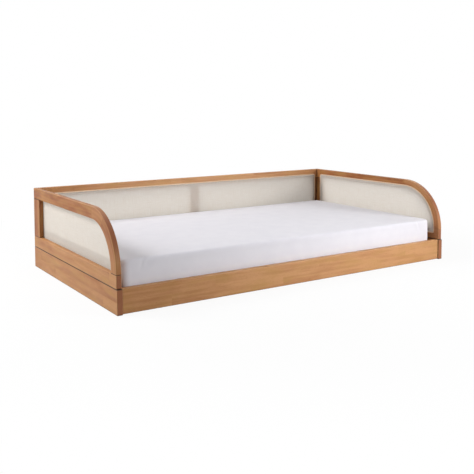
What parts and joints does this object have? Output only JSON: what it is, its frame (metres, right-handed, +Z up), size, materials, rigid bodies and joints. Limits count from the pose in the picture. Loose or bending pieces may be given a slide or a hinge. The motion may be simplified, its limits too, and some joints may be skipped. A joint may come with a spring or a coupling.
{
  "type": "single bed",
  "caption": "Low wooden single bed with a guard on three sides, quarter-round arches at the open front, fabric screens in the guard, a slatted base and a mattress in a fitted sheet.",
  "frame": {"origin": "on the floor under the middle of the bed", "axes": "+X along the bed to the right guard, -Y to the open front, +Z up"},
  "size_m": [1.995, 1.09, 0.43],
  "materials": {
    "oiled_wood": "satin oil",
    "pale_wood": "planed, bare",
    "screen_fabric": "open weave, off-white",
    "spline_cord": "matt",
    "zinc_steel": "zinc plated",
    "mattress_fabric": "knitted cover over foam",
    "sheet_cotton": "plain cotton"
  },
  "bodies": {
    "bed_frame": {"base_left_board": "oiled_wood", "base_right_board": "oiled_wood", "base_front_rail": "oiled_wood", "base_back_rail": "oiled_wood", "left_guard_bottom_rail": "oiled_wood", "left_guard_back_post": "oiled_wood", "left_guard_top_rail": "oiled_wood", "left_guard_arch": "oiled_wood", "left_guard_screen": "screen_fabric", "left_guard_screen_spline": "spline_cord", "right_guard_bottom_rail": "oiled_wood", "right_guard_back_post": "oiled_wood", "right_guard_top_rail": "oiled_wood", "right_guard_arch": "oiled_wood", "right_guard_screen": "screen_fabric", "right_guard_screen_spline": "spline_cord", "back_guard_bottom_rail": "oiled_wood", "back_guard_top_rail": "oiled_wood", "back_guard_left_post": "oiled_wood", "back_guard_centre_post": "oiled_wood", "back_guard_right_post": "oiled_wood", "back_guard_screen": "screen_fabric", "back_guard_screen_spline": "spline_cord", "front_slat_ledger": "pale_wood", "back_slat_ledger": "pale_wood", "slat_01": "pale_wood", "slat_02": "pale_wood", "slat_03": "pale_wood", "slat_04": "pale_wood", "slat_05": "pale_wood", "slat_06": "pale_wood", "slat_07": "pale_wood", "slat_08": "pale_wood", "slat_09": "pale_wood", "slat_10": "pale_wood", "slat_11": "pale_wood", "slat_12": "pale_wood", "slat_13": "pale_wood", "base_dowels": "pale_wood", "guard_dowels": "pale_wood", "cam_drums": "zinc_steel", "cam_bolts": "zinc_steel", "ledger_screws": "zinc_steel", "slat_screws": "zinc_steel"},
    "mattress": {"mattress_core": "mattress_fabric", "fitted_sheet": "sheet_cotton"}
  },
  "joints": [
    {"name": "mattress_lift", "type": "slide", "parent": "bed_frame", "child": "mattress", "axis": [0, 0, 1], "range_m": [0, 0.45]}
  ]
}
